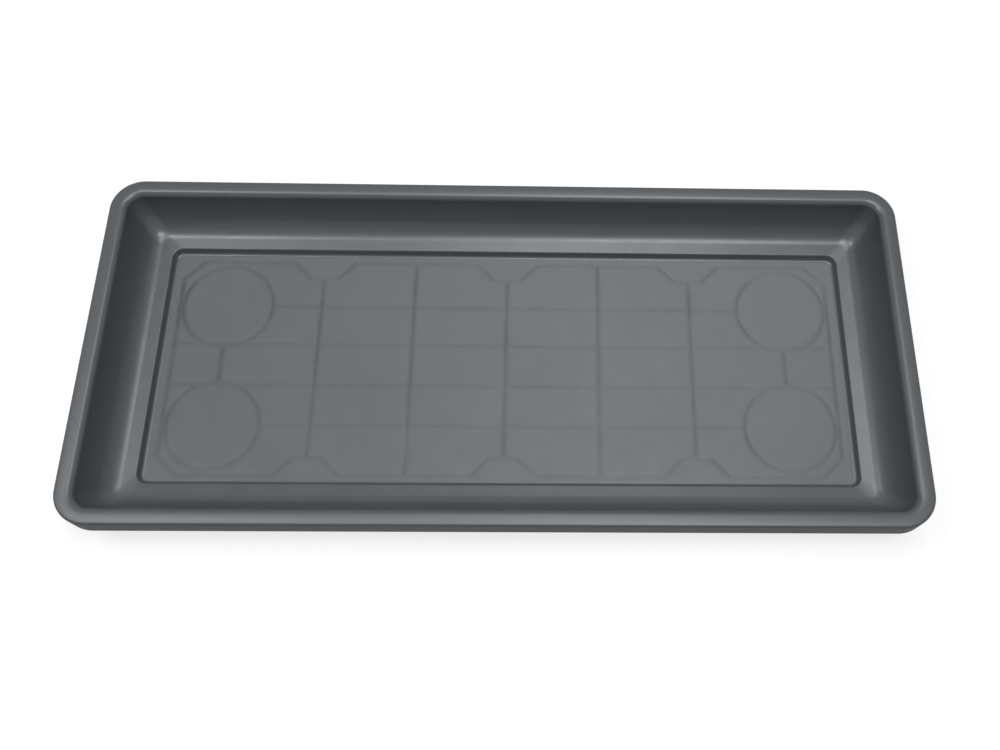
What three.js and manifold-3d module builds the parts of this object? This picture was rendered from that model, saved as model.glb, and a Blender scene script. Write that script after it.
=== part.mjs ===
// Rectangular plant saucer: one plastic moulding, modelled as the regions that it is made of.
// Millimetres, +Z up, +X along the length. The origin is the middle of the saucer on the ground.

import * as THREE from 'three';
import { mergeVertices } from 'three/addons/utils/BufferGeometryUtils.js';
import Module from 'manifold-3d';

const wasm = await Module();
wasm.setup();

// Overall size in plan, and the skin's thickness
const LENGTH = 800;
const WIDTH = 358;
const SKIN = 3;

// The section's upper face, as corners that are rounded by a radius r. Distances run outwards from the ledge's
// inner edge and heights up from the ground. The ledge slopes a little to the floor, the wall is hollow, and the
// rim is crowned, so that its middle is 65 high.
const RIM_OUT = 52;
const FLOOR_TOP = 10;
const FLOOR_BOTTOM = FLOOR_TOP - SKIN;
const RISER_FOOT = { out: -2.5, z: FLOOR_TOP, r: 2.2 };
const LEDGE_EDGE = { out: 0, z: FLOOR_TOP + 7, r: 0.6 };
const WALL_FOOT = { out: 16.5, z: 19.75, r: 17 };
const WALL_LOW = { out: 24.3, z: 28.1, r: 40 };
const WALL_HIGH = { out: 33.4, z: 45.3, r: 72 };
const SHOULDER = { out: 35.75, z: 64.2, r: 6.5 };
const CROWN = { out: 45.65, z: 65.25, r: 32 };
const RIM_EDGE = { out: RIM_OUT, z: 64.25, r: 2.5 };
const SKIRT_FOOT = { out: RIM_OUT, z: 41 };

// Where one region hands over to the next, each on a straight stretch of the section
const between = (a, b, share) => ({
  out: THREE.MathUtils.lerp(a.out, b.out, share),
  z: THREE.MathUtils.lerp(a.z, b.z, share),
});
const FLOOR_JOIN = { out: -5, z: FLOOR_TOP };
const LEDGE_JOIN = between(LEDGE_EDGE, WALL_FOOT, 0.36);
const RIM_JOIN = between(WALL_HIGH, SHOULDER, 0.715);
const SKIRT_JOIN = { out: RIM_OUT, z: 56 };

// Corners in plan: tight at the ledge, wider up the wall, then concentric round the rim
const LEDGE_CORNER = 10;
const WALL_TOP_CORNER = 16;
const CORNER_STEPS = 8;
const ROUND_STEP = THREE.MathUtils.degToRad(16);

// Ribs and foot rings under the floor
const RIB_THICKNESS = 2.5;
const RIB_DEPTH = 5;
const RIB_PITCH = 95.3;
const RING_X = 3 * RIB_PITCH;
const RING_Y = 64.5;
const RING_RADIUS = 45.5;
const RING_STEPS = 32;
const INNER_RIB_Y = 22;
const EDGE_RIB_X = 335;
const EDGE_RIB_Y = 115.5;
const EDGE_RIB_CUT = 20;
const NOTCH_DEPTH = 18;
const NOTCH_HALF_FLAT = 14;
const NOTCH_PLACES = [-2, 0, 2].map((pitch) => pitch * RIB_PITCH);

// Lines that the ribs draw into the floor's top as the plastic cools, deepest over the foot rings
const LINE_WIDTH = 3;
const LINE_DEPTHS = { edge: 0.3, long: 0.4, cross: 0.5, ring: 0.7 };

const LEDGE_HALF_LENGTH = LENGTH / 2 - RIM_OUT;
const LEDGE_HALF_WIDTH = WIDTH / 2 - RIM_OUT;

// Plan radius of a corner of the inner face at a distance out from the ledge's edge.
function cornerRadius(out) {
  if (out < 0) return LEDGE_CORNER + out;
  if (out > SHOULDER.out) return WALL_TOP_CORNER + out - SHOULDER.out;
  return THREE.MathUtils.mapLinear(out, 0, SHOULDER.out, LEDGE_CORNER, WALL_TOP_CORNER);
}

// Outline of the saucer at a distance out from the ledge's edge: a rectangle with round corners.
function outline(out, radius) {
  const x = LEDGE_HALF_LENGTH + out - radius;
  const y = LEDGE_HALF_WIDTH + out - radius;
  const shape = new THREE.Shape();
  [[x, y], [-x, y], [-x, -y], [x, -y]].forEach(([cx, cy], corner) => {
    const start = corner * Math.PI / 2;
    shape.absarc(cx, cy, radius, start, start + Math.PI / 2, false);
  });
  return shape;
}

// Section line through corner points, each rounded by its own radius r.
function roundedLine(corners) {
  const points = [];
  corners.forEach((corner, i) => {
    if (!corner.r) {
      points.push(new THREE.Vector2(corner.out, corner.z));
      return;
    }
    const here = new THREE.Vector2(corner.out, corner.z);
    const back = new THREE.Vector2(corners[i - 1].out, corners[i - 1].z).sub(here).normalize();
    const ahead = new THREE.Vector2(corners[i + 1].out, corners[i + 1].z).sub(here).normalize();
    const halfAngle = Math.acos(back.dot(ahead)) / 2;
    const centre = back.clone().add(ahead).setLength(corner.r / Math.sin(halfAngle)).add(here);
    const setback = corner.r / Math.tan(halfAngle);
    const from = back.multiplyScalar(setback).add(here).sub(centre).angle();
    const to = ahead.multiplyScalar(setback).add(here).sub(centre).angle();
    const turn = THREE.MathUtils.euclideanModulo(to - from + Math.PI, 2 * Math.PI) - Math.PI;
    const steps = Math.max(Math.ceil(Math.abs(turn) / ROUND_STEP), 2);
    for (let step = 0; step <= steps; step += 1) {
      const angle = from + turn * step / steps;
      points.push(new THREE.Vector2(corner.r, 0).rotateAround(new THREE.Vector2(), angle).add(centre));
    }
  });
  return points;
}

// The same corner points one skin thickness below or outside the face, with radii that stay concentric.
function skinBehind(corners) {
  const normals = corners.slice(1).map((corner, i) => {
    const along = new THREE.Vector2(corner.out - corners[i].out, corner.z - corners[i].z).normalize();
    return new THREE.Vector2(along.y, -along.x);
  });
  return corners.map((corner, i) => {
    const before = normals[Math.max(i - 1, 0)];
    const after = normals[Math.min(i, normals.length - 1)];
    const mitre = before.clone().add(after).multiplyScalar(SKIN / (1 + before.dot(after)));
    const rising = before.cross(after) > 0;
    const r = corner.r ? Math.max(corner.r + (rising ? SKIN : -SKIN), 0) : 0;
    return { out: corner.out + mitre.x, z: corner.z + mitre.y, r };
  });
}

// A closed band round the saucer: the section between a face and the skin behind it, swept round the outline.
function band(corners) {
  const face = roundedLine(corners).map((p) => ({ p, radius: cornerRadius(p.x) }));
  const behind = roundedLine(skinBehind(corners))
    .map((p) => ({ p, radius: cornerRadius(p.x - SKIN) + SKIN }));
  const loops = [...face, ...behind.reverse()].map(({ p, radius }) =>
    outline(p.x, radius).getPoints(CORNER_STEPS / 2).map((q) => [q.x, q.y, p.y]));
  const around = loops[0].length;
  const index = [];
  loops.forEach((_, row) => {
    const next = (row + 1) % loops.length;
    for (let i = 0; i < around; i += 1) {
      const j = (i + 1) % around;
      const [a, b, c, d] = [row * around + i, row * around + j, next * around + j, next * around + i];
      index.push(a, c, b, a, d, c);
    }
  });
  const geometry = new THREE.BufferGeometry();
  geometry.setAttribute('position', new THREE.Float32BufferAttribute(loops.flat(2), 3));
  geometry.setIndex(index);
  geometry.computeVertexNormals();
  return geometry;
}

// Boolean cut of one closed geometry by others.
function toSolid(geometry) {
  const bare = geometry.clone();
  bare.deleteAttribute('normal');
  bare.deleteAttribute('uv');
  const merged = mergeVertices(bare);
  return new wasm.Manifold(new wasm.Mesh({
    numProp: 3,
    vertProperties: new Float32Array(merged.attributes.position.array),
    triVerts: new Uint32Array(merged.index.array),
  }));
}

function cut(geometry, cutters) {
  const solid = cutters.reduce((left, cutter) => left.subtract(toSolid(cutter)), toSolid(geometry));
  const mesh = solid.getMesh();
  const result = new THREE.BufferGeometry();
  result.setAttribute('position', new THREE.Float32BufferAttribute(mesh.vertProperties, 3));
  result.setIndex(Array.from(mesh.triVerts));
  result.computeVertexNormals();
  return result;
}

function block([x0, x1], [y0, y1], [z0, z1]) {
  const box = new THREE.BoxGeometry(x1 - x0, y1 - y0, z1 - z0);
  return box.translate((x0 + x1) / 2, (y0 + y1) / 2, (z0 + z1) / 2);
}

const about = (middle, width) => [middle - width / 2, middle + width / 2];

// Round rib with its flats square to the grid, from radius RING_RADIUS out and in by half of its width.
function ring(x, y, width, [z0, z1]) {
  const toCorners = 1 / Math.cos(Math.PI / RING_STEPS);
  const [r0, r1] = about(RING_RADIUS, width).map((r) => r * toCorners);
  const section = [[r0, z0], [r1, z0], [r1, z1], [r0, z1], [r0, z0]].map(([r, z]) => new THREE.Vector2(r, z));
  const lathe = new THREE.LatheGeometry(section, RING_STEPS, Math.PI / RING_STEPS);
  return lathe.rotateX(Math.PI / 2).translate(x, y, 0);
}

// Ledge, wall, rim and skirt: four bands of one section
const ledgeSection = [FLOOR_JOIN, RISER_FOOT, LEDGE_EDGE, LEDGE_JOIN];
const wallSection = [LEDGE_JOIN, WALL_FOOT, WALL_LOW, WALL_HIGH, RIM_JOIN];
const rimSection = [RIM_JOIN, SHOULDER, CROWN, RIM_EDGE, SKIRT_JOIN];
const skirtSection = [SKIRT_JOIN, SKIRT_FOOT];

// Rib grid: where each rib runs
const RIB_SPAN = [FLOOR_BOTTOM - RIB_DEPTH, FLOOR_BOTTOM];
const RIB_MIDDLE = (RIB_SPAN[0] + RIB_SPAN[1]) / 2;
const OUTER_RIB_END = RING_X - RING_RADIUS - RIB_THICKNESS / 2;
const INNER_RIB_END = EDGE_RIB_X - RIB_THICKNESS / 2;

const longRibs = [
  { y: -RING_Y, end: OUTER_RIB_END },
  { y: -INNER_RIB_Y, end: INNER_RIB_END },
  { y: INNER_RIB_Y, end: INNER_RIB_END },
  { y: RING_Y, end: OUTER_RIB_END },
];
const crossRibs = [-3, -2, -1, 0, 1, 2, 3].map((pitch) => {
  const x = pitch * RIB_PITCH;
  if (Math.abs(pitch) === 3) return { x, end: RING_Y - RING_RADIUS - RIB_THICKNESS / 2 };
  const reach = EDGE_RIB_Y - RIB_THICKNESS / 2;
  return { x, end: NOTCH_PLACES.includes(x) ? reach - NOTCH_DEPTH : reach };
});

// Where two ribs cross, the long rib keeps the upper half of the crossing and the cross rib the lower half.
function crossings(half, ribs, others) {
  return ribs.flatMap((x) => others.map((y) =>
    block(about(x, RIB_THICKNESS), about(y, RIB_THICKNESS), half)));
}

function longRib({ y, end }) {
  const bar = block([-end, end], about(y, RIB_THICKNESS), RIB_SPAN);
  const crossed = crossRibs.filter((rib) => rib.end > Math.abs(y)).map((rib) => rib.x);
  return cut(bar, crossings([RIB_SPAN[0], RIB_MIDDLE], crossed, [y]));
}

function crossRib({ x, end }) {
  const bar = block(about(x, RIB_THICKNESS), [-end, end], RIB_SPAN);
  const crossed = longRibs.filter((rib) => Math.abs(rib.y) < end).map((rib) => rib.y);
  return cut(bar, crossings([RIB_MIDDLE, RIB_SPAN[1]], [x], crossed));
}

// Edge rib: its line along the front, from the left end's corner to the right end's corner
const frontLine = [
  [-EDGE_RIB_X, -EDGE_RIB_Y + EDGE_RIB_CUT],
  [-EDGE_RIB_X + EDGE_RIB_CUT, -EDGE_RIB_Y],
  ...NOTCH_PLACES.flatMap((x) => [
    [x - NOTCH_HALF_FLAT - NOTCH_DEPTH, -EDGE_RIB_Y],
    [x - NOTCH_HALF_FLAT, -EDGE_RIB_Y + NOTCH_DEPTH],
    [x + NOTCH_HALF_FLAT, -EDGE_RIB_Y + NOTCH_DEPTH],
    [x + NOTCH_HALF_FLAT + NOTCH_DEPTH, -EDGE_RIB_Y],
  ]),
  [EDGE_RIB_X - EDGE_RIB_CUT, -EDGE_RIB_Y],
  [EDGE_RIB_X, -EDGE_RIB_Y + EDGE_RIB_CUT],
];
const edgeLine = [...frontLine, ...frontLine.map(([x, y]) => [-x, -y])].map((p) => new THREE.Vector2(...p));

// The edge line moved sideways, outwards for a positive distance, with mitred corners.
function movedEdge(distance) {
  const count = edgeLine.length;
  const normal = (i) => {
    const along = edgeLine[(i + 1) % count].clone().sub(edgeLine[i % count]).normalize();
    return new THREE.Vector2(along.y, -along.x);
  };
  return edgeLine.map((point, i) => {
    const [before, after] = [normal(i + count - 1), normal(i)];
    const mitre = before.clone().add(after).multiplyScalar(distance / (1 + before.dot(after)));
    return mitre.add(point);
  });
}

function upright(shape, [z0, z1]) {
  const rise = { depth: z1 - z0, bevelEnabled: false, curveSegments: CORNER_STEPS / 2 };
  return new THREE.ExtrudeGeometry(shape, rise).translate(0, 0, z0);
}

function edgeRib(first, last) {
  const [outer, inner] = about(0, RIB_THICKNESS).reverse().map(movedEdge);
  const reach = Array.from({ length: last - first + 1 }, (_, i) => (first + i) % edgeLine.length);
  const shape = new THREE.Shape([...reach.map((i) => outer[i]), ...reach.reverse().map((i) => inner[i])]);
  return upright(shape, RIB_SPAN);
}

function edgeGroove(span) {
  const [inner, outer] = about(0, LINE_WIDTH).map(movedEdge);
  const shape = new THREE.Shape(outer);
  shape.holes.push(new THREE.Path(inner));
  return upright(shape, span);
}

const SIDE = frontLine.length;
const edgeRibs = {
  front: [0, SIDE - 1],
  right: [SIDE - 1, SIDE],
  back: [SIDE, 2 * SIDE - 1],
  left: [2 * SIDE - 1, 2 * SIDE],
};

// Foot rings: the saucer stands on them. The inner long ribs run through their upper part.
const footRings = ['front', 'back'].flatMap((row, j) => ['left', 'right'].map((column, i) => (
  { name: `foot_ring_${row}_${column}`, x: RING_X * (2 * i - 1), y: RING_Y * (2 * j - 1) })));
const innerRibBlocks = longRibs.filter((rib) => rib.end === INNER_RIB_END)
  .map((rib) => block([-rib.end, rib.end], about(rib.y, RIB_THICKNESS), [RIB_SPAN[0], FLOOR_TOP]));

// Floor panel: a flat plate with every rib drawn into its top as a shallow line
function floorPanel() {
  const plate = upright(outline(FLOOR_JOIN.out, cornerRadius(FLOOR_JOIN.out)), [FLOOR_BOTTOM, FLOOR_TOP]);
  const span = (kind) => [FLOOR_TOP - LINE_DEPTHS[kind], FLOOR_TOP + 1];
  return cut(plate, [
    ...longRibs.map(({ y, end }) => block([-end, end], about(y, LINE_WIDTH), span('long'))),
    ...crossRibs.map(({ x, end }) => block(about(x, LINE_WIDTH), [-end, end], span('cross'))),
    ...footRings.map(({ x, y }) => ring(x, y, LINE_WIDTH, span('ring'))),
    edgeGroove(span('edge')),
  ]);
}

// The saucer, with one material for the smooth rim and wall, one for the dull floor and one for the underside
const saucer = new THREE.Group();

function addPart(name, geometry, finish) {
  const mesh = new THREE.Mesh(geometry, new THREE.MeshStandardMaterial(finish));
  mesh.name = name;
  saucer.add(mesh);
}

const SATIN = { color: 0x5d6366, roughness: 0.42, metalness: 0 };
const DULL = { color: 0x686e72, roughness: 0.6, metalness: 0 };
const UNDERSIDE = { color: 0x55595c, roughness: 0.65, metalness: 0 };

addPart('skirt', band(skirtSection), SATIN);
addPart('rim', band(rimSection), SATIN);
addPart('side_wall', band(wallSection), SATIN);
addPart('ledge', band(ledgeSection), SATIN);
addPart('floor_panel', floorPanel(), DULL);

for (const { name, x, y } of footRings) {
  addPart(name, cut(ring(x, y, RIB_THICKNESS, [0, FLOOR_BOTTOM]), innerRibBlocks), UNDERSIDE);
}
for (const [side, [first, last]] of Object.entries(edgeRibs)) {
  addPart(`edge_rib_${side}`, edgeRib(first, last), UNDERSIDE);
}
longRibs.forEach((rib, i) => addPart(`long_rib_${i + 1}`, longRib(rib), UNDERSIDE));
crossRibs.forEach((rib, i) => addPart(`cross_rib_${i + 1}`, crossRib(rib), UNDERSIDE));

export default saucer;
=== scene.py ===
# %% [markdown]
# # A rectangular plant saucer
#
# This lesson dresses a long, shallow saucer of dark grey plastic, the kind that catches the water under
# a window box. The real one leaves its mould in one shot, so nothing on it moves and nothing unscrews.
# We make it region by region, as the mould is cut: rim, wall, ledge and floor on top, ribs underneath.
# The frame already holds plain solids at the real size. Each piece below takes its measures from them
# and adds what a plain solid lacks: soft edges, sink lines and a plastic finish.

# %% Load the frame
import math

import bmesh
import bpy
import numpy as np
from mathutils import Matrix, Vector


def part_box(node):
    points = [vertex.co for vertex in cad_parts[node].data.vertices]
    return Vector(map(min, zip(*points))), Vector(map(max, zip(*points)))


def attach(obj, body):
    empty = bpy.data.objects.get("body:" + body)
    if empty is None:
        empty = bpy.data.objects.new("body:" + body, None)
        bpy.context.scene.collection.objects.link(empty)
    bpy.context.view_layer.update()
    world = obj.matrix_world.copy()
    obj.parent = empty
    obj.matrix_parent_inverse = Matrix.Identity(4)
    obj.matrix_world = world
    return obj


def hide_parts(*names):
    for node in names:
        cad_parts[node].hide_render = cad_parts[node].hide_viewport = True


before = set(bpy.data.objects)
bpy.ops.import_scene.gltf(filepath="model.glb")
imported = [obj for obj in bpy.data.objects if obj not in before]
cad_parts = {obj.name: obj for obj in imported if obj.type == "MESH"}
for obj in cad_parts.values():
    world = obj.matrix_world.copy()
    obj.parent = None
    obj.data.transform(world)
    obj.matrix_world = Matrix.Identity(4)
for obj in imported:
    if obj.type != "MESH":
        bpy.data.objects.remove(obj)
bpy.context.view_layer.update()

# %% [markdown]
# ## Measures
#
# A saucer is easiest to describe by its cross-section. Each corner of the section is an inset and a
# height: the inset runs inwards from the rim's outer face, so the long and the short sides share one
# drawing, and the height is taken from the ground. The ledge slopes a little to the floor so that water
# runs off, the wall is slightly hollow, and the rim is crowned like a road. What the frame can tell us is
# read from it.

# %% Heights and insets
MM = 0.001
floor_low, floor_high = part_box("floor_panel")
skirt_low, skirt_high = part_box("skirt")

HALF_LENGTH, HALF_WIDTH, RIM_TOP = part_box("rim")[1]
FLOOR_BOTTOM, FLOOR_TOP = floor_low.z, floor_high.z
SKIN = FLOOR_TOP - FLOOR_BOTTOM

FLOOR_JOIN = (HALF_LENGTH - floor_high.x, FLOOR_TOP)
RISER_FOOT = (54.5 * MM, FLOOR_TOP)
LEDGE_EDGE = (52.0 * MM, 17.0 * MM)
WALL_FOOT = (35.5 * MM, 19.75 * MM)
WALL_LOW = (27.7 * MM, 28.1 * MM)
WALL_HIGH = (18.6 * MM, 45.3 * MM)
SHOULDER = (16.25 * MM, 64.2 * MM)
CROWN = (6.35 * MM, 65.25 * MM)
RIM_EDGE = (0.0, 64.25 * MM)
SKIRT_JOIN = (0.0, skirt_high.z)
SKIRT_FOOT = (0.0, skirt_low.z)


def between(first, second, share):
    """A point on the straight stretch from one corner of the section to the next."""
    return tuple(Vector(first).lerp(Vector(second), share))


LEDGE_JOIN = between(LEDGE_EDGE, WALL_FOOT, 0.36)
RIM_JOIN = between(WALL_HIGH, SHOULDER, 0.715)
size_words = [round(2 * HALF_LENGTH, 3), round(2 * HALF_WIDTH, 3), round(RIM_TOP, 4)]
print("saucer", size_words, "m, skin", round(SKIN / MM, 2), "mm")

# %% [markdown]
# ## Camera
#
# The photograph looks down into the saucer from the front, a little to the right of its middle, and the
# camera was held slightly crooked. We could aim with a constraint, but three turns say it more plainly:
# roll about the lens, tilt down from the horizon, then swing about the upright. The picture is a crop, so
# the lens points beside the middle of the frame and the camera needs a small sideways shift.

# %% Camera
IMAGE_WIDTH = 1000
LENS_PIXEL_X = 568.4
FOCAL_PIXELS = 1000.5
CAMERA_PLACE = Vector((0.0382, -0.3938, 0.9449))
CAMERA_SWING = math.radians(-3.87)
CAMERA_TILT = math.radians(67.62)
CAMERA_ROLL = math.radians(4.03)

lens = bpy.data.cameras.new("photo_lens")
lens.sensor_width = 36
lens.lens = lens.sensor_width * FOCAL_PIXELS / IMAGE_WIDTH
lens.shift_x = (IMAGE_WIDTH / 2 - LENS_PIXEL_X) / IMAGE_WIDTH
camera = bpy.data.objects.new("photo_camera", lens)
camera.matrix_world = (
    Matrix.Translation(CAMERA_PLACE)
    @ Matrix.Rotation(CAMERA_SWING, 4, "Z")
    @ Matrix.Rotation(math.pi / 2 - CAMERA_TILT, 4, "X")
    @ Matrix.Rotation(CAMERA_ROLL, 4, "Z")
)
bpy.context.scene.collection.objects.link(camera)
bpy.context.scene.camera = camera
print("lens", round(lens.lens, 2), "mm, shift", round(lens.shift_x, 4))

# %% [markdown]
# ## Plastic
#
# The saucer is recycled plastic, dyed through in one dark grey. What makes it look like plastic and not
# like paint is small: faint clouds in the dye, a fine etched grain from the mould, a surface that is a
# little uneven, and a gloss that wanders. Each of these is one noise texture at its own scale. We read
# Object coordinates, because every piece sits at the origin and the noise then runs on across the joins.

# %% Node helpers
def add_node(tree, kind, **sockets):
    """Adds a node and sets the named sockets, or links them where the value is another node's output."""
    node = tree.nodes.new(kind)
    for name, value in sockets.items():
        socket = node.inputs[name.replace("_", " ")]
        if isinstance(value, bpy.types.NodeSocket):
            tree.links.new(value, socket)
        else:
            socket.default_value = value
    return node


def noise(tree, place, scale, detail=2.0, roughness=0.5):
    """A noise texture's value, with scale in waves per metre."""
    return add_node(
        tree, "ShaderNodeTexNoise", Vector=place, Scale=scale, Detail=detail, Roughness=roughness
    ).outputs["Fac"]


def ranged(tree, value, low, high, to_low, to_high):
    """The value moved from one range to another and kept inside it."""
    node = add_node(
        tree, "ShaderNodeMapRange", Value=value, From_Min=low, From_Max=high, To_Min=to_low, To_Max=to_high
    )
    return node.outputs["Result"]


def joined(tree, operation, first, second):
    """Two masks joined by a Math node."""
    node = add_node(tree, "ShaderNodeMath")
    node.operation = operation
    for value, socket in zip((first, second), node.inputs):
        tree.links.new(value, socket)
    return node.outputs["Value"]


def product(tree, first, second):
    """A mask that is set only where both masks are."""
    return joined(tree, "MULTIPLY", first, second)


def either(tree, first, second):
    """A mask that is set where one of the masks is."""
    return joined(tree, "MAXIMUM", first, second)


def blended(tree, mask, first, second):
    """The first colour where the mask is 0 and the second where it is 1."""
    node = tree.nodes.new("ShaderNodeMix")
    node.data_type = "RGBA"
    tree.links.new(mask, node.inputs["Factor"])
    for value, socket in zip((first, second), (node.inputs[6], node.inputs[7])):
        if isinstance(value, bpy.types.NodeSocket):
            tree.links.new(value, socket)
        else:
            socket.default_value = (*value, 1.0)
    return node.outputs[2]


print("node helpers ready")

# %% [markdown]
# ## Three finishes of one plastic
#
# The mould is polished where it shows and left duller where the pot stands and underneath. So there are
# three finishes, and all of them start from the same dyed plastic. The smooth satin also carries thin
# handling scuffs along the top of the rim. The floor is painted lighter towards the back and the right,
# as painted light where more light falls, and painted shade darkens it along its sink lines. Where the
# satin is rubbed dull and painted darker as shade, and where a sink line runs, the finishes read from
# attributes that we give to the meshes later.

# %% Dyed plastic
PLASTIC_IOR = 1.5
NOISE_RANGE = (0.3, 0.7)  # most values of a noise texture lie in here
CLOUD_SCALE = 11
CLOUD_CONTRAST = 0.06
FLECK_SCALE = 520
FLECK_RANGE = (0.52, 0.72)
FLECK_COVER = 0.5
FLECK_DARKENING = 0.08
GLOSS_SCALE = 46
RIPPLE_SCALE = 17


def shade_of(dye, share):
    """The dye made lighter or darker by a share of itself."""
    return tuple(channel * (1 + share) for channel in dye)


def dyed_plastic(name, dye, gloss, grain_scale, grain_depth, ripple_depth):
    """A plastic with dye clouds, flecks, wandering gloss and a moulded grain. Returns its parts by name."""
    finish = bpy.data.materials.new(name)
    finish.use_nodes = True
    tree = finish.node_tree
    shader = tree.nodes["Principled BSDF"]
    shader.inputs["IOR"].default_value = PLASTIC_IOR
    place = tree.nodes.new("ShaderNodeTexCoord").outputs["Object"]

    clouds = ranged(tree, noise(tree, place, CLOUD_SCALE, detail=4), *NOISE_RANGE, 0.0, 1.0)
    flecks = ranged(tree, noise(tree, place, FLECK_SCALE, detail=1), *FLECK_RANGE, 0.0, FLECK_COVER)
    cloudy = blended(tree, clouds, shade_of(dye, -CLOUD_CONTRAST), shade_of(dye, CLOUD_CONTRAST))
    colour = blended(tree, flecks, cloudy, shade_of(dye, -FLECK_DARKENING))

    wander = noise(tree, place, GLOSS_SCALE, detail=4, roughness=0.6)
    roughness = ranged(tree, wander, *NOISE_RANGE, *gloss)

    grain = add_node(
        tree, "ShaderNodeBump", Strength=1.0, Distance=grain_depth, Height=noise(tree, place, grain_scale)
    )
    ripple = add_node(
        tree, "ShaderNodeBump", Strength=1.0, Distance=ripple_depth,
        Height=noise(tree, place, RIPPLE_SCALE), Normal=grain.outputs["Normal"],
    )
    tree.links.new(ripple.outputs["Normal"], shader.inputs["Normal"])
    return {"finish": finish, "tree": tree, "shader": shader, "place": place, "colour": colour,
            "roughness": roughness}


def poured(parts):
    """Links the finished colour and gloss to the shader and returns the material."""
    links = parts["tree"].links
    links.new(parts["colour"], parts["shader"].inputs["Base Color"])
    links.new(parts["roughness"], parts["shader"].inputs["Roughness"])
    return parts["finish"]


print("dye clouds", CLOUD_SCALE, "and flecks", FLECK_SCALE, "to the metre")

# %% Satin finish for the rim, wall and ledge
SATIN_DYE = (0.087, 0.096, 0.105)
SATIN_IOR = 1.58
HAIRLINE_SCALE = (14, 420, 420)
HAIRLINE_RANGE = (0.66, 0.72)
SCUFF_COVER = 0.25
SCUFF_REACH = 4 * MM
SCUFF_COLOUR = (0.190, 0.202, 0.210)
RUB_AND_SHADE_NAME = "rubbed"
# Painted shade: this darker colour goes where the outside and the rim top are rubbed.
RUB_PAINTED_SHADE_COLOUR = (0.076, 0.085, 0.092)
RUBBED_ROUGHNESS = 0.7


def satin_plastic():
    """Smooth plastic, duller and painted darker as shade where an attribute says so, with hairline scuffs
    along the top of the rim.
    """
    parts = dyed_plastic(
        "satin_finish", SATIN_DYE, gloss=(0.28, 0.35), grain_scale=1500, grain_depth=0.008 * MM,
        ripple_depth=0.25 * MM,
    )
    tree = parts["tree"]
    parts["shader"].inputs["IOR"].default_value = SATIN_IOR
    stretched = add_node(tree, "ShaderNodeMapping", Vector=parts["place"], Scale=HAIRLINE_SCALE)
    streaks = noise(tree, stretched.outputs["Vector"], 1.0, detail=2)
    hairlines = ranged(tree, streaks, *HAIRLINE_RANGE, 0.0, SCUFF_COVER)
    height = add_node(tree, "ShaderNodeSeparateXYZ", Vector=parts["place"]).outputs["Z"]
    near_top = ranged(tree, height, RIM_TOP - SCUFF_REACH, RIM_TOP, 0.0, 1.0)
    scuffs = product(tree, hairlines, near_top)
    parts["colour"] = blended(tree, scuffs, parts["colour"], SCUFF_COLOUR)
    rubbed = tree.nodes.new("ShaderNodeAttribute")
    rubbed.attribute_name = RUB_AND_SHADE_NAME
    # Painted shade: the rubbed share darkens the colour as well as dulling the gloss.
    parts["colour"] = blended(tree, rubbed.outputs["Fac"], parts["colour"], RUB_PAINTED_SHADE_COLOUR)
    worn = ranged(tree, rubbed.outputs["Fac"], 0.0, 1.0, 0.0, RUBBED_ROUGHNESS)
    parts["roughness"] = either(tree, parts["roughness"], worn)
    return poured(parts)


SATIN = satin_plastic()
print("made", SATIN.name)

# %% Dull finish for the floor
LINE_NAME = "rib_line"
FLOOR_DYE = (0.096, 0.106, 0.116)
# Painted light: the floor's colour grows lighter towards the back and the right.
PAINTED_LIGHT_COLOUR = (0.178, 0.194, 0.211)
PAINTED_LIGHT_WAY = (0.34, 1.0, 0.0)
PAINTED_LIGHT_REACH = 0.2
MOST_PAINTED_LIGHT = 0.75
# Painted shade along the sink lines, patchy and weaker towards the right end.
GROOVE_SHADE_COLOUR = (0.058, 0.064, 0.068)
GROOVE_SHADE_PATCH_SCALE = 38
RIGHT_END_GROOVE_SHADE = 0.55


def floor_plastic():
    """Duller plastic, painted lighter towards the back and the right as painted light, with painted shade
    along the sink lines.
    """
    parts = dyed_plastic(
        "floor_finish", FLOOR_DYE, gloss=(0.40, 0.50), grain_scale=1100, grain_depth=0.02 * MM,
        ripple_depth=0.2 * MM,
    )
    tree = parts["tree"]
    # Painted light: lighter towards the back and the right, where more light falls.
    way = add_node(tree, "ShaderNodeVectorMath", Vector=parts["place"])
    way.operation = "DOT_PRODUCT"
    way.inputs[1].default_value = PAINTED_LIGHT_WAY
    painted_light = ranged(tree, way.outputs["Value"], -PAINTED_LIGHT_REACH, PAINTED_LIGHT_REACH, 0.0, MOST_PAINTED_LIGHT)
    parts["colour"] = blended(tree, painted_light, parts["colour"], PAINTED_LIGHT_COLOUR)
    # Painted shade along the sink lines: stronger where a rib lies across, patchy, weaker to the right end.
    line = tree.nodes.new("ShaderNodeAttribute")
    line.attribute_name = LINE_NAME
    patchy = ranged(tree, noise(tree, parts["place"], GROOVE_SHADE_PATCH_SCALE, detail=3), 0.35, 0.65, 0.5, 1.0)
    along = add_node(tree, "ShaderNodeSeparateXYZ", Vector=parts["place"]).outputs["X"]
    groove_shade_to_right = ranged(tree, along, -HALF_LENGTH, HALF_LENGTH, 1.0, RIGHT_END_GROOVE_SHADE)
    groove_shade = product(tree, product(tree, line.outputs["Fac"], patchy), groove_shade_to_right)
    parts["colour"] = blended(tree, groove_shade, parts["colour"], GROOVE_SHADE_COLOUR)
    return poured(parts)


FLOOR_FINISH = floor_plastic()
print("made", FLOOR_FINISH.name)

# %% Matt finish for the underside
UNDERSIDE_DYE = (0.110, 0.120, 0.126)


def underside_plastic():
    """The side that nobody sees: matt, with a coarser grain."""
    parts = dyed_plastic(
        "underside_finish", UNDERSIDE_DYE, gloss=(0.56, 0.68), grain_scale=800, grain_depth=0.05 * MM,
        ripple_depth=0.2 * MM,
    )
    return poured(parts)


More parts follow.
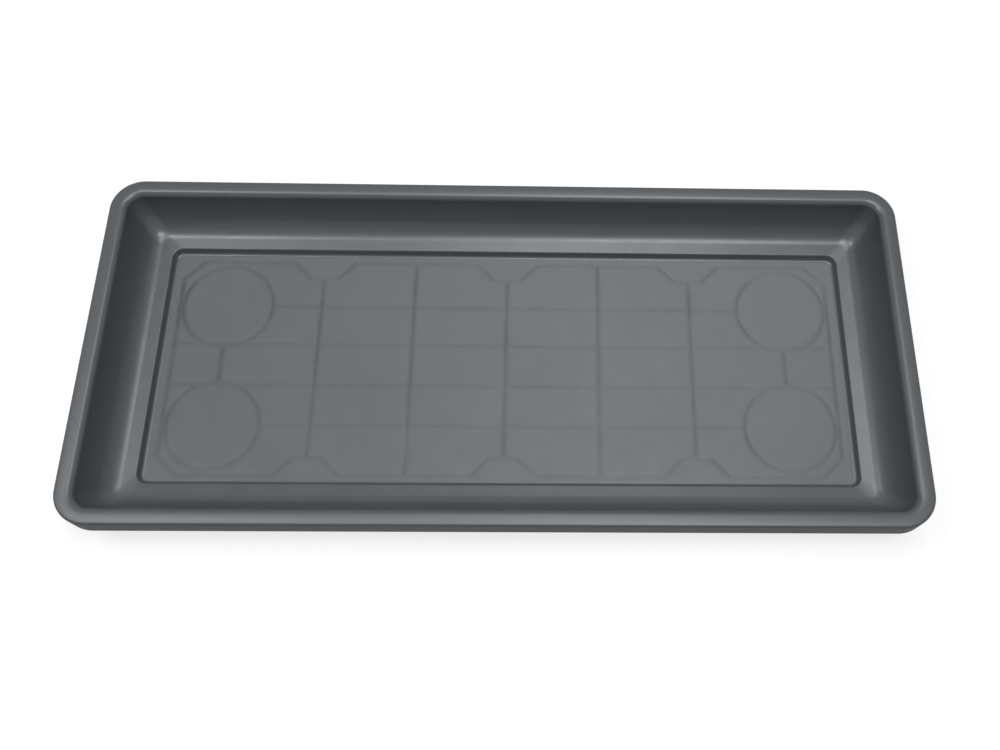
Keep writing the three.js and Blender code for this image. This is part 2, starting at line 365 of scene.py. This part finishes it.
UNDERSIDE = underside_plastic()
print("made", UNDERSIDE.name)

# %% [markdown]
# ## From a bmesh to a piece
#
# Every piece ends the same way: the bmesh becomes a mesh, its faces are shaded smooth, its true corners
# stay sharp, and the piece takes the place of its plain solid in the frame. A weighted-normal modifier
# lets large flat faces decide how they meet a round, so a flat stays flat right up to the bend.

# %% Piece helper
SHARP_ANGLE = math.radians(40)


def make_piece(bm, name, finish, *nodes, thickness=0.0):
    """Makes the object from a bmesh, dresses it and lets it stand for its frame nodes."""
    mesh = bpy.data.meshes.new(name)
    bm.to_mesh(mesh)
    bm.free()
    mesh.shade_smooth()
    mesh.set_sharp_from_angle(angle=SHARP_ANGLE)
    mesh.materials.append(finish)
    piece = bpy.data.objects.new(name, mesh)
    bpy.context.scene.collection.objects.link(piece)
    if thickness:
        skin = piece.modifiers.new("rib_thickness", "SOLIDIFY")
        skin.thickness = thickness
        skin.offset = 0.0
        skin.use_even_offset = True
    flats = piece.modifiers.new("flats_stay_flat", "WEIGHTED_NORMAL")
    flats.keep_sharp = True
    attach(piece, "root")
    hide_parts(*nodes)
    print(name, "stands for", ", ".join(nodes), "with", len(mesh.polygons), "faces")
    return piece


# %% [markdown]
# ## Bands round the saucer
#
# Skirt, rim, wall and ledge are four bands of one cross-section that runs right round. A curve with a
# bevel profile would sweep it, but it can't widen its corners on the way up, and the real corners do
# widen: they are tight at the floor and generous at the rim. So each corner of the section becomes a
# closed loop, a rectangle with its own corner radius, and Bridge joins loop to loop. Two loops in one
# plane can be paired the wrong way round, so the loops are first stacked like a tower, bridged, and then
# set down at their heights. Last, Bevel rounds each bend of the section, as a fillet does on a mould.

# %% Plan and section helpers
LEDGE_CORNER = 10 * MM
WALL_TOP_CORNER = 16 * MM
CORNER_STEPS = 16
BEND_STEPS = 10
TOWER_STEP = 0.1


def plan_radius(inset):
    """Corner radius in plan: growing up the wall, concentric inside the ledge and round the rim."""
    if inset > LEDGE_EDGE[0]:
        return LEDGE_CORNER - (inset - LEDGE_EDGE[0])
    if inset < SHOULDER[0]:
        return WALL_TOP_CORNER + (SHOULDER[0] - inset)
    return float(np.interp(inset, [SHOULDER[0], LEDGE_EDGE[0]], [WALL_TOP_CORNER, LEDGE_CORNER]))


def section_loop(section):
    """The closed section: its face, then the skin behind it, as (inset, height, corner radius, bend)."""
    points = [Vector(corner[:2]) for corner in section]
    behind = [(b - a).normalized().orthogonal() for a, b in zip(points, points[1:])]
    face, back = [], []
    for i, (inset, height, face_bend, back_bend) in enumerate(section):
        before = behind[max(i - 1, 0)]
        after = behind[min(i, len(behind) - 1)]
        shift = (before + after) * SKIN / (1 + before.dot(after))
        radius = plan_radius(inset)
        face.append((inset, height, radius, face_bend))
        back.append((inset + shift.x, height + shift.y, radius - shift.x, back_bend))
    return face + back[::-1]


def outline(bm, inset, radius, level):
    """One loop of edges round the saucer: a rectangle with its corners bevelled round."""
    corners = bmesh.ops.create_grid(bm, x_segments=1, y_segments=1, size=1.0)["verts"]
    bmesh.ops.scale(bm, verts=corners, vec=(HALF_LENGTH - inset, HALF_WIDTH - inset, 1.0))
    bmesh.ops.translate(bm, verts=corners, vec=(0.0, 0.0, level))
    rounds = bmesh.ops.bevel(
        bm, geom=corners, affect="VERTICES", offset=radius, offset_type="OFFSET",
        segments=CORNER_STEPS, profile=0.5, material=-1,
    )
    sheet = rounds["verts"][0].link_faces[0]
    edges = list(sheet.edges)
    bmesh.ops.delete(bm, geom=[sheet], context="FACES_ONLY")
    return edges


corner_radii = [round(plan_radius(inset) / MM, 1) for inset in (FLOOR_JOIN[0], 0.0)]
print("corner radius at the floor and at the rim:", corner_radii, "mm")

# %% Band helper
LONG_RUN = 100 * MM
RUN_CUTS = {0: 47, 1: 17}


def band(section):
    """A closed band round the saucer from the corners of its section."""
    corners = section_loop(section)
    bm = bmesh.new()
    loops = [outline(bm, corner[0], corner[2], TOWER_STEP * i) for i, corner in enumerate(corners)]
    for near, far in zip(loops, loops[1:] + loops[:1]):
        bmesh.ops.bridge_loops(bm, edges=near + far)
    for i, (loop, corner) in enumerate(zip(loops, corners)):
        verts = list({v for edge in loop for v in edge.verts})
        bmesh.ops.translate(bm, verts=verts, vec=(0.0, 0.0, corner[1] - TOWER_STEP * i))
    bmesh.ops.recalc_face_normals(bm, faces=bm.faces)
    for loop, corner in zip(loops, corners):
        if corner[3]:
            turn = max(loop, key=lambda edge: edge.calc_length()).calc_face_angle()
            bmesh.ops.bevel(
                bm, geom=loop, affect="EDGES", offset=corner[3] * math.tan(turn / 2), offset_type="OFFSET",
                segments=BEND_STEPS, profile=0.5, material=-1,
            )
    for axis, cuts in RUN_CUTS.items():
        runs = [edge for edge in bm.edges if abs(edge.verts[0].co[axis] - edge.verts[1].co[axis]) > LONG_RUN]
        bmesh.ops.subdivide_edges(bm, edges=runs, cuts=cuts, use_grid_fill=True)
    bmesh.ops.recalc_face_normals(bm, faces=bm.faces)
    closed = all(edge.is_manifold for edge in bm.edges)
    print("band closed:", closed, "volume", round(bm.calc_volume() * 1e6, 1), "cm3")
    return bm


# %% [markdown]
# ## Skirt and rim
#
# The rim is rolled over: a rounded shoulder above the wall, a narrow crowned top, a soft outer edge and a
# skirt that hangs down outside. Fingers reach under the skirt to lift the saucer. Its lower edge is fully
# rounded, because a mould would leave it sharp only where two halves meet. Hands and stacking have rubbed
# the outside dull, and the top a little; the same share paints the outside and the top darker as painted
# shade. We keep that as an attribute, which the satin finish reads.

# %% Rubbed outside and painted shade
TOP_RUB_AND_SHADE = 0.55
OUTWARD_FADE = (0.4, 0.65)
UPWARD_FADE = (0.8, 0.95)


def rub_and_shade_outside(piece):
    """Keeps how dull each vertex is rubbed, and how much painted shade it gets, as an attribute: fully where
    it faces outwards, half on top.
    """
    mesh = piece.data
    share = []
    for vertex in mesh.vertices:
        outwards = Vector((vertex.co.x / HALF_LENGTH, vertex.co.y / HALF_WIDTH, 0.0))
        on_face = vertex.normal.xy.length if vertex.normal.dot(outwards) > 0 else 0.0
        outside = np.interp(on_face, OUTWARD_FADE, [0.0, 1.0])
        on_top = np.interp(vertex.normal.z, UPWARD_FADE, [0.0, TOP_RUB_AND_SHADE])
        share.append(float(max(outside, on_top)))
    kept = mesh.attributes.new(RUB_AND_SHADE_NAME, "FLOAT", "POINT")
    kept.data.foreach_set("value", share)
    print(piece.name, "rubbed at", sum(value > 0.5 for value in share), "vertices")


# %% Skirt
SKIRT_EDGE_BEND = 1.3 * MM
skirt_section = [
    (*SKIRT_JOIN, 0.0, 0.0),
    (*SKIRT_FOOT, SKIRT_EDGE_BEND, SKIRT_EDGE_BEND),
]
rub_and_shade_outside(make_piece(band(skirt_section), "rim_skirt", SATIN, "skirt"))

# %% Rim
SHOULDER_BEND = 6.5 * MM
CROWN_BEND = 32 * MM
RIM_EDGE_BEND = 2.5 * MM
rim_section = [
    (*RIM_JOIN, 0.0, 0.0),
    (*SHOULDER, SHOULDER_BEND, SHOULDER_BEND - SKIN),
    (*CROWN, CROWN_BEND, CROWN_BEND - SKIN),
    (*RIM_EDGE, RIM_EDGE_BEND, 0.0),
    (*SKIRT_JOIN, 0.0, 0.0),
]
rub_and_shade_outside(make_piece(band(rim_section), "rolled_rim", SATIN, "rim"))

# %% [markdown]
# ## Wall and ledge
#
# The wall leans out so that saucers nest and slide off the mould. It is slightly hollow, so two gentle
# bends shape it, and it runs into the ledge through a wide round, which catches the light. The ledge is a
# shoulder round the floor that slopes a little inwards: water runs off it, and a pot's foot can't slip past
# it. A small riser drops from the ledge to the floor.

# %% Wall
WALL_FOOT_BEND = 17 * MM
WALL_LOW_BEND = 40 * MM
WALL_HIGH_BEND = 72 * MM
wall_section = [
    (*LEDGE_JOIN, 0.0, 0.0),
    (*WALL_FOOT, WALL_FOOT_BEND, WALL_FOOT_BEND + SKIN),
    (*WALL_LOW, WALL_LOW_BEND, WALL_LOW_BEND + SKIN),
    (*WALL_HIGH, WALL_HIGH_BEND, WALL_HIGH_BEND + SKIN),
    (*RIM_JOIN, 0.0, 0.0),
]
make_piece(band(wall_section), "leaning_wall", SATIN, "side_wall")

# %% Ledge
RISER_FOOT_BEND = 3.0 * MM
LEDGE_EDGE_BEND = 1.5 * MM
ledge_section = [
    (*FLOOR_JOIN, 0.0, 0.0),
    (*RISER_FOOT, RISER_FOOT_BEND, RISER_FOOT_BEND + SKIN),
    (*LEDGE_EDGE, LEDGE_EDGE_BEND, 0.0),
    (*LEDGE_JOIN, 0.0, 0.0),
]
make_piece(band(ledge_section), "pot_ledge", SATIN, "ledge")

# %% [markdown]
# ## Ribs under the floor
#
# A thin floor this long would sag, so the moulder puts ribs below it: a grid, a rib along the edge with
# cut corners and notches, and four round feet that the saucer stands on. The frame knows where each rib
# runs. The grid starts as one flat sheet that is bisected along every side of every rib. The cells that
# lie in no rib are deleted, and what is left is pulled down. That joins the crossings without overlaps.

# %% Rib grid
GRID_RIBS = sorted(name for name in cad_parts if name.startswith(("long_rib", "cross_rib")))
RIB_BOXES = [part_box(name) for name in GRID_RIBS]
RIB_FOOT = RIB_BOXES[0][0].z
RIB_EDGE_BEND = 0.5 * MM
RIB_EDGE_STEPS = 3
TOUCHING = 0.01 * MM
CUT_CLOSENESS = 0.001 * MM


def in_a_rib(point):
    """Whether a point lies in plan inside one of the straight ribs."""
    return any(low.x < point.x < high.x and low.y < point.y < high.y for low, high in RIB_BOXES)


def round_feet_edges(bm, foot):
    """Rounds the lower edges of ribs or feet, where the mould's slots end."""
    edges = [
        edge for edge in bm.edges
        if all(abs(v.co.z - foot) < TOUCHING for v in edge.verts) and edge.calc_face_angle(0.0) > SHARP_ANGLE
    ]
    bmesh.ops.bevel(
        bm, geom=edges, affect="EDGES", offset=RIB_EDGE_BEND, offset_type="OFFSET",
        segments=RIB_EDGE_STEPS, profile=0.5, material=-1,
    )


def rib_grid():
    """The straight ribs as one closed grid that hangs from the floor."""
    bm = bmesh.new()
    sheet = bmesh.ops.create_grid(bm, x_segments=1, y_segments=1, size=1.0)["verts"]
    bmesh.ops.scale(bm, verts=sheet, vec=(floor_high.x, floor_high.y, 1.0))
    bmesh.ops.translate(bm, verts=sheet, vec=(0.0, 0.0, FLOOR_BOTTOM))
    for side in (corner for box in RIB_BOXES for corner in box):
        for normal in ((1.0, 0.0, 0.0), (0.0, 1.0, 0.0)):
            everything = bm.verts[:] + bm.edges[:] + bm.faces[:]
            bmesh.ops.bisect_plane(bm, geom=everything, plane_co=side, plane_no=normal, dist=CUT_CLOSENESS)
    spare = [face for face in bm.faces if not in_a_rib(face.calc_center_median())]
    bmesh.ops.delete(bm, geom=spare, context="FACES")
    pulled = bmesh.ops.extrude_face_region(bm, geom=bm.faces[:], use_keep_orig=True)["geom"]
    feet = [part for part in pulled if isinstance(part, bmesh.types.BMVert)]
    bmesh.ops.translate(bm, verts=feet, vec=(0.0, 0.0, RIB_FOOT - FLOOR_BOTTOM))
    bmesh.ops.recalc_face_normals(bm, faces=bm.faces)
    round_feet_edges(bm, RIB_FOOT)
    return bm


make_piece(rib_grid(), "rib_grid", UNDERSIDE, *GRID_RIBS)

# %% [markdown]
# The edge rib is one line that turns many corners. We draw a quarter of it with a few vertices, mirror
# it twice, pull the line down into a ribbon and let a Solidify modifier give the ribbon its thickness.

# %% Edge rib
RIB_THICKNESS = RIB_BOXES[-1][1].y - RIB_BOXES[-1][0].y
EDGE_RIBS = ("edge_rib_front", "edge_rib_right", "edge_rib_back", "edge_rib_left")
EDGE_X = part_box("edge_rib_right")[1].x - RIB_THICKNESS / 2
EDGE_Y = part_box("edge_rib_back")[1].y - RIB_THICKNESS / 2
EDGE_CUT = 20 * MM
NOTCH_DEPTH = 18 * MM
NOTCH_HALF_FLAT = 14 * MM
NOTCH_X = sum(corner.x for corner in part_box("cross_rib_6")) / 2

EDGE_QUARTER = [
    (0.0, EDGE_Y - NOTCH_DEPTH),
    (NOTCH_HALF_FLAT, EDGE_Y - NOTCH_DEPTH),
    (NOTCH_HALF_FLAT + NOTCH_DEPTH, EDGE_Y),
    (NOTCH_X - NOTCH_HALF_FLAT - NOTCH_DEPTH, EDGE_Y),
    (NOTCH_X - NOTCH_HALF_FLAT, EDGE_Y - NOTCH_DEPTH),
    (NOTCH_X + NOTCH_HALF_FLAT, EDGE_Y - NOTCH_DEPTH),
    (NOTCH_X + NOTCH_HALF_FLAT + NOTCH_DEPTH, EDGE_Y),
    (EDGE_X - EDGE_CUT, EDGE_Y),
    (EDGE_X, EDGE_Y - EDGE_CUT),
    (EDGE_X, 0.0),
]


def edge_rib():
    """The line of the edge rib, pulled down into a ribbon."""
    bm = bmesh.new()
    line = [bm.verts.new((x, y, FLOOR_BOTTOM)) for x, y in EDGE_QUARTER]
    for near, far in zip(line, line[1:]):
        bm.edges.new((near, far))
    for axis in "XY":
        bmesh.ops.mirror(bm, geom=bm.verts[:] + bm.edges[:], matrix=Matrix(), merge_dist=TOUCHING, axis=axis)
    ribbon = bmesh.ops.extrude_edge_only(bm, edges=bm.edges[:])["geom"]
    feet = [part for part in ribbon if isinstance(part, bmesh.types.BMVert)]
    bmesh.ops.translate(bm, verts=feet, vec=(0.0, 0.0, RIB_FOOT - FLOOR_BOTTOM))
    bmesh.ops.recalc_face_normals(bm, faces=bm.faces)
    return bm


make_piece(edge_rib(), "edge_rib", UNDERSIDE, *EDGE_RIBS, thickness=RIB_THICKNESS)

# %% [markdown]
# A round foot is a short ring. Its section is a small rectangle, and Spin carries the rectangle's edges
# once round the foot's middle, merging the last step with the first so that the ring closes.

# %% Round feet
FOOT_NAMES = sorted(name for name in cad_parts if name.startswith("foot_ring"))
FOOT_STEPS = 96


def round_foot(name):
    """A ring of rib thickness that fills its frame node's box."""
    low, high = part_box(name)
    middle = (low + high) / 2
    radius = (high.x - low.x - RIB_THICKNESS) / 2
    bm = bmesh.new()
    section = bmesh.ops.create_grid(bm, x_segments=1, y_segments=1, size=0.5)["verts"]
    bmesh.ops.scale(bm, verts=section, vec=(RIB_THICKNESS, high.z - low.z, 1.0))
    bmesh.ops.rotate(bm, verts=section, cent=(0.0, 0.0, 0.0), matrix=Matrix.Rotation(math.pi / 2, 3, "X"))
    bmesh.ops.translate(bm, verts=section, vec=(middle.x + radius, middle.y, middle.z))
    bmesh.ops.delete(bm, geom=bm.faces[:], context="FACES_ONLY")
    bmesh.ops.spin(
        bm, geom=bm.verts[:] + bm.edges[:], cent=(middle.x, middle.y, 0.0), axis=(0.0, 0.0, 1.0),
        angle=2 * math.pi, steps=FOOT_STEPS, use_merge=True,
    )
    bmesh.ops.recalc_face_normals(bm, faces=bm.faces)
    round_feet_edges(bm, low.z)
    return bm


for foot_name in FOOT_NAMES:
    make_piece(round_foot(foot_name), foot_name.replace("foot_ring", "round_foot"), UNDERSIDE, foot_name)

# %% [markdown]
# ## Floor
#
# Where a rib hangs below, the plastic is thicker, cools last and pulls a shallow line into the floor.
# These sink lines are what draws the grid and the circles that the photograph shows. The plastic flows
# from the middle to both ends, and a rib that lies across its way leaves a stronger line than a rib that
# runs along. A bevelled groove would look carved, so the floor is a fine grid of cells and each vertex
# sinks by a smooth curve of its distance to the nearest rib. The same curve is kept as an attribute,
# and the floor finish paints shade along it: painted shade, darker where the rib lies across the saucer
# and weaker towards the right end.

# %% Distances to the ribs
def bar_line(x, y, box):
    """Distance in plan to a straight rib's middle line, and 1 where the rib lies across the saucer."""
    low, high = box
    half = RIB_THICKNESS / 2
    aside_x = np.maximum(np.maximum(low.x + half - x, x - high.x + half), 0.0)
    aside_y = np.maximum(np.maximum(low.y + half - y, y - high.y + half), 0.0)
    return np.hypot(aside_x, aside_y), float(high.y - low.y > high.x - low.x)


def foot_line(x, y, box):
    """Distance in plan to a round foot's middle line, and how much the line lies across the saucer."""
    low, high = box
    out_x, out_y = x - (low.x + high.x) / 2, y - (low.y + high.y) / 2
    out = np.maximum(np.hypot(out_x, out_y), MM)
    return np.abs(out - (high.x - low.x - RIB_THICKNESS) / 2), (out_x / out) ** 2


def edge_line(x, y):
    """The same for the edge rib, measured in one quarter because the rib is symmetric."""
    nearest = np.full(x.shape, np.inf)
    across = np.zeros(x.shape)
    for (ax, ay), (bx, by) in zip(EDGE_QUARTER, EDGE_QUARTER[1:]):
        run_x, run_y = bx - ax, by - ay
        length = math.hypot(run_x, run_y)
        along = ((np.abs(x) - ax) * run_x + (np.abs(y) - ay) * run_y) / length ** 2
        along = np.clip(along, 0.0, 1.0)
        distance = np.hypot(np.abs(x) - ax - along * run_x, np.abs(y) - ay - along * run_y)
        across = np.where(distance < nearest, (run_y / length) ** 2, across)
        nearest = np.minimum(nearest, distance)
    return nearest, across


print("edge rib's quarter has", len(EDGE_QUARTER) - 1, "runs")

# %% Floor sheet
FLOOR_CELL = 1.5 * MM
LINE_HALF_WIDTH = 1.7 * MM
DEEPEST_SINK = 0.3 * MM
ALONG_SHARE = 0.38


def floor_sheet():
    """A closed plate with a fine grid on top."""
    bm = bmesh.new()
    cells = [round(2 * half / FLOOR_CELL) for half in floor_high.xy]
    top = bmesh.ops.create_grid(bm, x_segments=cells[0], y_segments=cells[1], size=1.0)["verts"]
    bmesh.ops.scale(bm, verts=top, vec=(floor_high.x, floor_high.y, 1.0))
    bmesh.ops.translate(bm, verts=top, vec=(0.0, 0.0, FLOOR_TOP))
    rim = [edge for edge in bm.edges if edge.is_boundary]
    pulled = bmesh.ops.extrude_edge_only(bm, edges=rim)["geom"]
    feet = [part for part in pulled if isinstance(part, bmesh.types.BMVert)]
    bmesh.ops.translate(bm, verts=feet, vec=(0.0, 0.0, -SKIN))
    lower_rim = [part for part in pulled if isinstance(part, bmesh.types.BMEdge) and part.is_boundary]
    bmesh.ops.edgeloop_fill(bm, edges=lower_rim)
    bmesh.ops.recalc_face_normals(bm, faces=bm.faces)
    return bm


def rounded_corners(x, y):
    """Moves the corner squares of the sheet onto quarter discs, so that the outline follows the ledge."""
    radius = plan_radius(FLOOR_JOIN[0])
    u = np.maximum(np.abs(x) - floor_high.x + radius, 0.0) / radius
    v = np.maximum(np.abs(y) - floor_high.y + radius, 0.0) / radius
    pull_x = u * (1 - np.sqrt(1 - v ** 2 / 2)) * radius
    pull_y = v * (1 - np.sqrt(1 - u ** 2 / 2)) * radius
    return x - np.sign(x) * pull_x, y - np.sign(y) * pull_y


def line_share(distance, across):
    """A smooth valley from 0 to 1, shallower where the rib runs along the saucer."""
    depth = ALONG_SHARE + (1 - ALONG_SHARE) * across
    return depth * np.exp(-0.5 * (distance / LINE_HALF_WIDTH) ** 2)


def press_sink_lines(piece):
    """Sinks the top along the ribs and keeps the lines as an attribute for the finish."""
    mesh = piece.data
    places = np.empty(len(mesh.vertices) * 3, np.float32)
    mesh.vertices.foreach_get("co", places)
    places = places.reshape(-1, 3)
    x, y = rounded_corners(places[:, 0], places[:, 1])
    lines = [edge_line(x, y)]
    lines += [bar_line(x, y, box) for box in RIB_BOXES]
    lines += [foot_line(x, y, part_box(name)) for name in FOOT_NAMES]
    share = np.max([line_share(*line) for line in lines], axis=0)
    share = share * (places[:, 2] > FLOOR_TOP - SKIN / 2)
    pressed = np.column_stack((x, y, places[:, 2] - DEEPEST_SINK * share))
    mesh.vertices.foreach_set("co", pressed.astype(np.float32).ravel())
    kept = mesh.attributes.new(LINE_NAME, "FLOAT", "POINT")
    kept.data.foreach_set("value", share.astype(np.float32))
    mesh.update()
    print("sink lines pressed,", int((share > 0.5).sum()), "vertices in their middle")


press_sink_lines(make_piece(floor_sheet(), "ribbed_floor", FLOOR_FINISH, "floor_panel"))

# %% [markdown]
# ## Studio
#
# The saucer stands on pale paper under five round soft boxes that hang at one height. Where they hang
# decides where the rim and the foot of the wall catch a highlight, and together they give the light at
# which a colour renders about as it is written. The paper and the room look white through the Light Path
# node: they glow only for rays from the camera, mirrored rays and rays through glass. So the picture gets
# its white ground without more light on the saucer, and the paper keeps the soft shadow.

# %% Glow that is only seen
def seen_or_mirrored(tree):
    """1 for rays that come from the camera, a glossy surface or glass, and 0 for light on the saucer."""
    path = tree.nodes.new("ShaderNodeLightPath").outputs
    mirrored = either(tree, path["Is Glossy Ray"], path["Is Transmission Ray"])
    return either(tree, path["Is Camera Ray"], mirrored)


print("glow mask ready")

# %% Paper
GROUND_HALF = 6.0
PALE_GREY = (0.32, 0.32, 0.32, 1.0)
WHITE = (1.0, 1.0, 1.0, 1.0)
PAPER_GLOW = 0.78


def white_paper():
    """Dull pale paper that takes a shadow and glows white where it is seen."""
    paper = bpy.data.materials.new("white_paper")
    paper.use_nodes = True
    tree = paper.node_tree
    shader = tree.nodes["Principled BSDF"]
    shader.inputs["Base Color"].default_value = PALE_GREY
    shader.inputs["Roughness"].default_value = 0.9
    shader.inputs["Specular IOR Level"].default_value = 0.1
    shader.inputs["Emission Color"].default_value = WHITE
    glow = ranged(tree, seen_or_mirrored(tree), 0.0, 1.0, 0.0, PAPER_GLOW)
    tree.links.new(glow, shader.inputs["Emission Strength"])
    return paper


def studio_ground():
    """A wide flat sheet of the paper."""
    bm = bmesh.new()
    bmesh.ops.create_grid(bm, x_segments=1, y_segments=1, size=GROUND_HALF)
    mesh = bpy.data.meshes.new("studio_ground")
    bm.to_mesh(mesh)
    bm.free()
    mesh.materials.append(white_paper())
    ground = bpy.data.objects.new("studio_ground", mesh)
    bpy.context.scene.collection.objects.link(ground)
    return ground


print("made", studio_ground().name)

# %% Lamps
LAMP_HEIGHT = 2.2


def soft_box(name, x, y, width, power):
    """A round lamp above the saucer that faces its middle, with lengths in metres and power in watts."""
    lamp = bpy.data.lights.new(name, "AREA")
    lamp.shape = "DISK"
    lamp.size = width
    lamp.energy = power
    holder = bpy.data.objects.new(name, lamp)
    holder.location = (x, y, LAMP_HEIGHT)
    holder.rotation_mode = "QUATERNION"
    holder.rotation_quaternion = (-holder.location).to_track_quat("-Z", "Y")
    holder.visible_camera = False
    bpy.context.scene.collection.objects.link(holder)
    print(name, power, "W")


soft_box("left_lamp", -1.15, 0.0, 0.9, 16.5)
soft_box("middle_lamp", 0.0, 0.2, 0.9, 5.5)
soft_box("front_lamp", 0.0, -0.4, 0.8, 5.0)
soft_box("right_lamp", 0.57, -0.35, 0.9, 14.3)
soft_box("back_lamp", 0.25, 0.75, 1.0, 7.6)

# %% Room
ROOM_LIGHT = 0.02
ROOM_GLOW = 0.6

room = bpy.data.worlds.new("pale_room")
room.use_nodes = True
air = room.node_tree.nodes["Background"]
air.inputs["Color"].default_value = WHITE
room_level = ranged(room.node_tree, seen_or_mirrored(room.node_tree), 0.0, 1.0, ROOM_LIGHT, ROOM_GLOW)
room.node_tree.links.new(room_level, air.inputs["Strength"])
bpy.context.scene.world = room
bpy.context.scene.view_settings.view_transform = "Standard"
print("room glows", ROOM_GLOW, "where it is seen")
